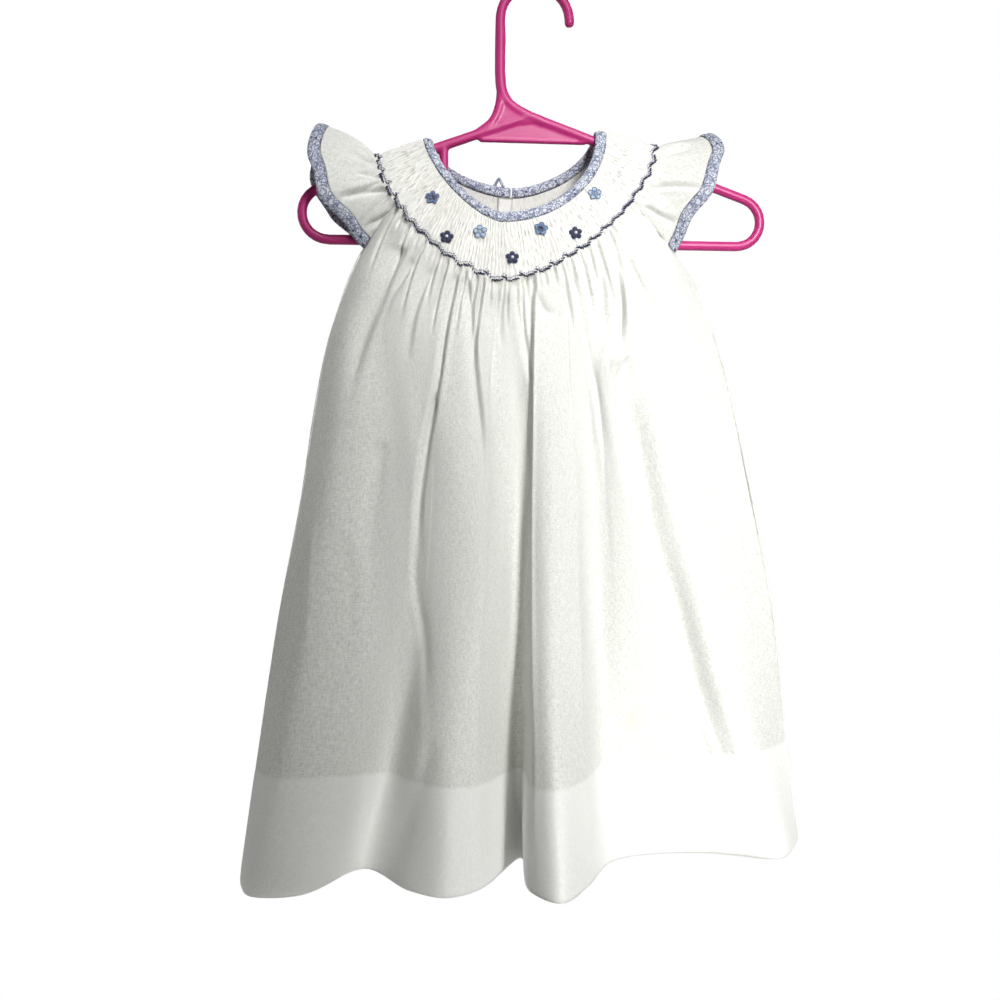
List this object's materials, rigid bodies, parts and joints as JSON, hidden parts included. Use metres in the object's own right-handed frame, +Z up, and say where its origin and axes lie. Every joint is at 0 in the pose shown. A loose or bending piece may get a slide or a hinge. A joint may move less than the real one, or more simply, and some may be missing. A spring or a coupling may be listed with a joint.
{
  "type": "toddler dress on a hanger",
  "caption": "White smocked bishop dress for a toddler with print-bound neck and flutter sleeves, hanging in folds on a child's pink tubular hanger.",
  "frame": {"origin": "inside top of the hanger's hook, where it rests on a rail", "axes": "+Z up; the dress front faces -Y; +X to the right seen from the front; the hanger lies in the plane y = 0"},
  "size_m": [0.3578, 0.1904, 0.5626],
  "materials": {
    "white_cotton": "matt plain-weave cotton, slightly slubby",
    "paisley_cotton": "matt printed cotton, small slate-blue paisley on white",
    "pearl": "glossy",
    "pink_plastic": "moulded, glossy"
  },
  "bodies": {
    "root": {"back_button": "pearl", "back_left": "white_cotton", "back_placket": "white_cotton", "back_right": "white_cotton", "button_loop": "paisley_cotton", "front": "white_cotton", "hanger": "pink_plastic", "neck_binding": "paisley_cotton", "sleeve_binding_left": "paisley_cotton", "sleeve_binding_right": "paisley_cotton", "sleeve_left": "white_cotton", "sleeve_right": "white_cotton"}
  },
  "joints": []
}
